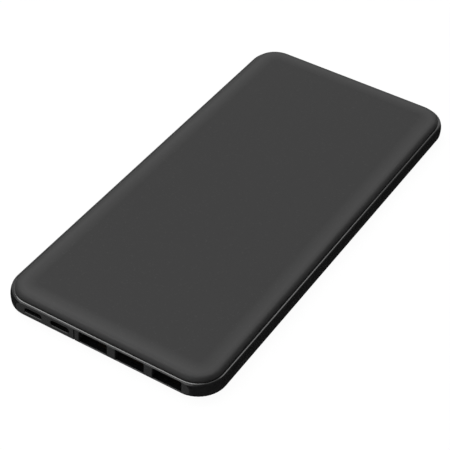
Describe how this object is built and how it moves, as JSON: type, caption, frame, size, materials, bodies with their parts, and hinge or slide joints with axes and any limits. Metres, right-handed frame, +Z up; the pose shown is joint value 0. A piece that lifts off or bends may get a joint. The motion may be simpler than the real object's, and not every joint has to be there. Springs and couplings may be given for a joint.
{
  "type": "power bank",
  "caption": "Slim black power bank: soft-touch covers on a gloss frame, with USB-A, USB-C and micro-USB ports at one end and a side button.",
  "frame": {"origin": "middle of the underside, on the surface that it lies on", "axes": "+Y along the length, away from the ports, which face -Y; +Z up through the thickness; +X across, towards the power button's side"},
  "size_m": [0.095, 0.2, 0.0108],
  "materials": {
    "soft_touch_black": "rubberised soft-touch coating, very fine grain",
    "gloss_black": "polished black moulding",
    "button_black": "polished black moulding",
    "port_steel": "nickel-plated folded steel",
    "port_plastic": "moulded insulator",
    "contact_gold": "gold-plated spring strip",
    "board_laminate": "glass-epoxy board with solder mask",
    "screw_steel": "zinc-plated",
    "ferrite": "sintered ferrite",
    "chip_black": "moulded epoxy package",
    "ceramic": "fired ceramic",
    "lamp_lens": "clear epoxy lens",
    "tab_nickel": "nickel strip",
    "lead_red": "silicone insulation",
    "lead_black": "silicone insulation",
    "tape": "double-sided adhesive sheet",
    "foam": "closed-cell foam sheet",
    "pouch_foil": "laminated foil pouch, satin",
    "switch_body": "moulded nylon",
    "switch_plunger": "moulded nylon"
  },
  "bodies": {
    "case": {"board_screws": "screw_steel", "bottom_cover": "soft_touch_black", "capacitors": "ceramic", "cell_link_board": "board_laminate", "cell_tapes": "tape", "controller_chip": "chip_black", "foam_pads": "foam", "main_board": "board_laminate", "micro_usb_contacts": "contact_gold", "micro_usb_shell": "port_steel", "micro_usb_tongue": "port_plastic", "mid_frame": "gloss_black", "negative_lead": "lead_black", "negative_tabs": "tab_nickel", "positive_lead": "lead_red", "positive_tabs": "tab_nickel", "pouch_cell_1": "pouch_foil", "pouch_cell_2": "pouch_foil", "pouch_cell_3": "pouch_foil", "pouch_cell_4": "pouch_foil", "power_chips": "chip_black", "power_inductors": "ferrite", "status_leds": "lamp_lens", "tact_switch": "switch_body", "top_cover": "soft_touch_black", "usb_a_contacts_1": "contact_gold", "usb_a_contacts_2": "contact_gold", "usb_a_contacts_3": "contact_gold", "usb_a_shell_1": "port_steel", "usb_a_shell_2": "port_steel", "usb_a_shell_3": "port_steel", "usb_a_tongue_1": "port_plastic", "usb_a_tongue_2": "port_plastic", "usb_a_tongue_3": "port_plastic", "usb_c_contacts": "contact_gold", "usb_c_shell": "port_steel", "usb_c_tongue": "port_plastic"},
    "button": {"power_button": "button_black"},
    "plunger": {"switch_plunger": "switch_plunger"}
  },
  "joints": [
    {"name": "power_button_press", "type": "slide", "parent": "case", "child": "button", "axis": [-1, 0, 0], "range_m": [0, 0.0003], "stiffness_N_per_m": 600},
    {"name": "switch_plunger_press", "type": "slide", "parent": "case", "child": "plunger", "axis": [-1, 0, 0], "range_m": [0, 0.0003]}
  ],
  "couplings": [
    {"joint": "switch_plunger_press", "follows": "power_button_press", "ratio": 1}
  ]
}
